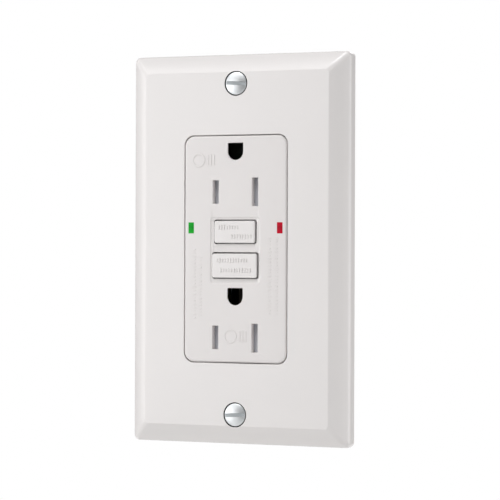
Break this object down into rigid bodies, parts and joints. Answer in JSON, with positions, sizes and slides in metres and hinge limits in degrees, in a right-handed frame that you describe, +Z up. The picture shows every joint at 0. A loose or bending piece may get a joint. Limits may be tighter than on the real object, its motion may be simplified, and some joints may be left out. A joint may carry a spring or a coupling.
{
  "type": "gfci outlet",
  "caption": "Grounded duplex wall receptacle with ground fault protection, press buttons, shutters, side terminals and a bevelled wall plate.",
  "frame": {"origin": "centre of the plate on the wall surface, midway between the fixing screws", "axes": "+Z up along the plate's height, +Y into the wall, +X to the right as seen from the room"},
  "size_m": [0.0698, 0.0352, 0.1142],
  "materials": {
    "white_plastic": "moulded thermoplastic, soft satin",
    "grey_plastic": "moulded acetal, satin",
    "black_plastic": "moulded phenolic, satin",
    "green_lens": "tinted light pipe, polished",
    "red_lens": "tinted light pipe, polished",
    "green_led": "tinted epoxy",
    "red_led": "tinted epoxy",
    "zinc_steel": "bright zinc plate",
    "galvanised_steel": "galvanised strip",
    "spring_steel": "drawn wire and strip",
    "brass": "stamped brass",
    "nickel_brass": "nickel-plated brass",
    "green_screw": "green passivated steel",
    "fibre": "vulcanised fibre",
    "board_laminate": "solder mask on glass laminate",
    "copper_winding": "enamelled copper wire",
    "copper_strip": "rolled copper alloy",
    "blue_epoxy": "dipped epoxy"
  },
  "bodies": {
    "device": {"wall_plate": "white_plastic", "face_cover": "white_plastic", "rear_housing": "white_plastic", "indicator_lens_green": "green_lens", "indicator_lens_red": "red_lens", "indicator_led_green": "green_led", "indicator_led_red": "red_led", "shutter_spring_upper": "spring_steel", "shutter_spring_lower": "spring_steel", "mounting_strap": "galvanised_steel", "screw_retainer_upper": "fibre", "screw_retainer_lower": "fibre", "hot_contact": "brass", "neutral_contact": "nickel_brass", "load_terminal_hot": "brass", "load_terminal_neutral": "nickel_brass", "line_terminal_hot": "brass", "line_terminal_neutral": "nickel_brass", "ground_clip_upper": "brass", "ground_clip_lower": "brass", "inner_frame": "black_plastic", "circuit_board": "board_laminate", "fault_sensing_coil": "copper_winding", "neutral_sensing_coil": "copper_winding", "solenoid_bobbin": "black_plastic", "solenoid_winding": "copper_winding", "solenoid_frame": "galvanised_steel", "varistor": "blue_epoxy", "capacitor": "black_plastic", "control_chip": "black_plastic", "plate_screw_upper": "zinc_steel", "mounting_screw_upper": "zinc_steel", "plate_screw_lower": "zinc_steel", "mounting_screw_lower": "zinc_steel", "housing_screw_1": "zinc_steel", "housing_screw_2": "zinc_steel", "housing_screw_3": "zinc_steel", "housing_screw_4": "zinc_steel"},
    "test_button": {"test_button": "white_plastic"},
    "test_blade": {"test_blade": "spring_steel"},
    "reset_button": {"reset_button": "white_plastic", "reset_pin": "spring_steel", "reset_spring": "spring_steel"},
    "contact_carriage": {"contact_carriage": "grey_plastic", "moving_contact_hot": "copper_strip", "moving_contact_neutral": "copper_strip"},
    "latch_plate": {"latch_plate": "spring_steel"},
    "trip_plunger": {"trip_plunger": "spring_steel"},
    "shutter_upper": {"shutter_upper": "grey_plastic"},
    "shutter_lower": {"shutter_lower": "grey_plastic"},
    "ground_screw": {"ground_screw": "green_screw"},
    "ground_clamp": {"ground_clamp": "zinc_steel"},
    "load_screw_hot": {"load_screw_hot": "brass"},
    "load_clamp_hot": {"load_clamp_hot": "zinc_steel"},
    "load_screw_neutral": {"load_screw_neutral": "nickel_brass"},
    "load_clamp_neutral": {"load_clamp_neutral": "zinc_steel"},
    "line_screw_hot": {"line_screw_hot": "brass"},
    "line_clamp_hot": {"line_clamp_hot": "zinc_steel"},
    "line_screw_neutral": {"line_screw_neutral": "nickel_brass"},
    "line_clamp_neutral": {"line_clamp_neutral": "zinc_steel"}
  },
  "joints": [
    {"name": "test_press", "type": "slide", "parent": "device", "child": "test_button", "axis": [0, 1, 0], "range_m": [0, 0.0014], "stiffness_N_per_m": 900, "springref_m": -0.0008},
    {"name": "test_blade_flex", "type": "hinge", "parent": "device", "child": "test_blade", "pos_m": [-0.0098, -0.00085, 0.00506], "axis": [0, 0, 1], "range_deg": [0, 9]},
    {"name": "reset_travel", "type": "slide", "parent": "device", "child": "reset_button", "axis": [0, 1, 0], "range_m": [-0.002, 0.0015], "stiffness_N_per_m": 700, "deforming": ["reset_spring"]},
    {"name": "contact_travel", "type": "slide", "parent": "device", "child": "contact_carriage", "axis": [0, 1, 0], "range_m": [0, 0.0012], "stiffness_N_per_m": 600, "springref_m": -0.0006},
    {"name": "latch_travel", "type": "slide", "parent": "contact_carriage", "child": "latch_plate", "axis": [0, 0, -1], "range_m": [0, 0.0016]},
    {"name": "plunger_travel", "type": "slide", "parent": "device", "child": "trip_plunger", "axis": [0, 0, -1], "range_m": [0, 0.0016], "stiffness_N_per_m": 300, "springref_m": -0.0006},
    {"name": "shutter_upper_travel", "type": "slide", "parent": "device", "child": "shutter_upper", "axis": [1, 0, 0], "range_m": [0, 0.0026], "stiffness_N_per_m": 150, "springref_m": -0.001, "deforming": ["shutter_spring_upper"]},
    {"name": "shutter_lower_travel", "type": "slide", "parent": "device", "child": "shutter_lower", "axis": [1, 0, 0], "range_m": [0, 0.0026], "stiffness_N_per_m": 150, "springref_m": -0.001, "deforming": ["shutter_spring_lower"]},
    {"name": "load_hot_screw_turn", "type": "hinge", "parent": "device", "child": "load_screw_hot", "pos_m": [-0.0185, 0.0172, 0.0136], "axis": [1, 0, 0], "range_deg": [0, 1080]},
    {"name": "load_hot_clamp_travel", "type": "slide", "parent": "device", "child": "load_clamp_hot", "axis": [-1, 0, 0], "range_m": [0, 0.00238]},
    {"name": "load_neutral_screw_turn", "type": "hinge", "parent": "device", "child": "load_screw_neutral", "pos_m": [0.0185, 0.0172, 0.0136], "axis": [-1, 0, 0], "range_deg": [0, 1080]},
    {"name": "load_neutral_clamp_travel", "type": "slide", "parent": "device", "child": "load_clamp_neutral", "axis": [1, 0, 0], "range_m": [0, 0.00238]},
    {"name": "line_hot_screw_turn", "type": "hinge", "parent": "device", "child": "line_screw_hot", "pos_m": [-0.0185, 0.0172, -0.0136], "axis": [1, 0, 0], "range_deg": [0, 1080]},
    {"name": "line_hot_clamp_travel", "type": "slide", "parent": "device", "child": "line_clamp_hot", "axis": [-1, 0, 0], "range_m": [0, 0.00238]},
    {"name": "line_neutral_screw_turn", "type": "hinge", "parent": "device", "child": "line_screw_neutral", "pos_m": [0.0185, 0.0172, -0.0136], "axis": [-1, 0, 0], "range_deg": [0, 1080]},
    {"name": "line_neutral_clamp_travel", "type": "slide", "parent": "device", "child": "line_clamp_neutral", "axis": [1, 0, 0], "range_m": [0, 0.00238]},
    {"name": "ground_screw_turn", "type": "hinge", "parent": "device", "child": "ground_screw", "pos_m": [0.011, 0.0126, 0.0366], "axis": [0, 0, -1], "range_deg": [0, 1080]},
    {"name": "ground_clamp_travel", "type": "slide", "parent": "device", "child": "ground_clamp", "axis": [0, 0, 1], "range_m": [0, 0.00238]}
  ],
  "couplings": [
    {"joint": "test_blade_flex", "follows": "test_press", "rad_per_m": 105.3},
    {"joint": "latch_travel", "follows": "plunger_travel", "ratio": 1},
    {"joint": "load_hot_screw_turn", "follows": "load_hot_clamp_travel", "rad_per_m": 7913.3},
    {"joint": "load_neutral_screw_turn", "follows": "load_neutral_clamp_travel", "rad_per_m": 7913.3},
    {"joint": "line_hot_screw_turn", "follows": "line_hot_clamp_travel", "rad_per_m": 7913.3},
    {"joint": "line_neutral_screw_turn", "follows": "line_neutral_clamp_travel", "rad_per_m": 7913.3},
    {"joint": "ground_screw_turn", "follows": "ground_clamp_travel", "rad_per_m": 7913.3}
  ]
}
